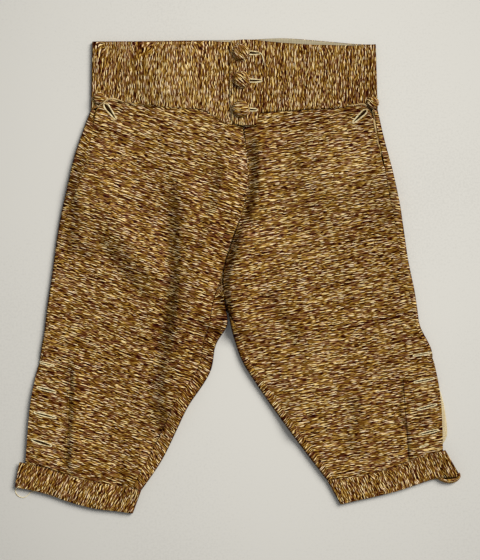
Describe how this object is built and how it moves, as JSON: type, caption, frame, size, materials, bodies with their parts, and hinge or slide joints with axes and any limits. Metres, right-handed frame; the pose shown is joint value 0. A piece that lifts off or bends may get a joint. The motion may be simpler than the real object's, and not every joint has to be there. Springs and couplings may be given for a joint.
{
  "type": "knee breeches",
  "caption": "Flat-laid knee breeches of streaked silk with a deep buttoned waistband, loose pocket corners, open knees and banded hems.",
  "frame": {"origin": "middle of the garment on the surface that it lies on", "axes": "+Y towards the waist, +X towards the wearer's left, +Z out of the front"},
  "size_m": [0.653, 0.6985, 0.0141],
  "materials": {
    "silk": "ribbed silk with short gold and cream streaks on dark brown, soft sheen",
    "covered_buttons": "the same silk drawn over a flat mould",
    "waist_lining": "plain woven linen, matt",
    "knee_facing": "plain woven pale linen, matt"
  },
  "bodies": {
    "root": {"right_front": "silk", "left_front": "silk", "right_back": "silk", "left_back": "silk", "right_waistband": "silk", "left_waistband": "silk", "right_knee_band": "silk", "left_knee_band": "silk", "back_waistband_lining": "waist_lining", "left_knee_facing": "knee_facing", "front_button_1": "covered_buttons", "front_button_2": "covered_buttons", "front_button_3": "covered_buttons", "right_pocket_button": "covered_buttons", "left_pocket_button": "covered_buttons"}
  },
  "joints": []
}
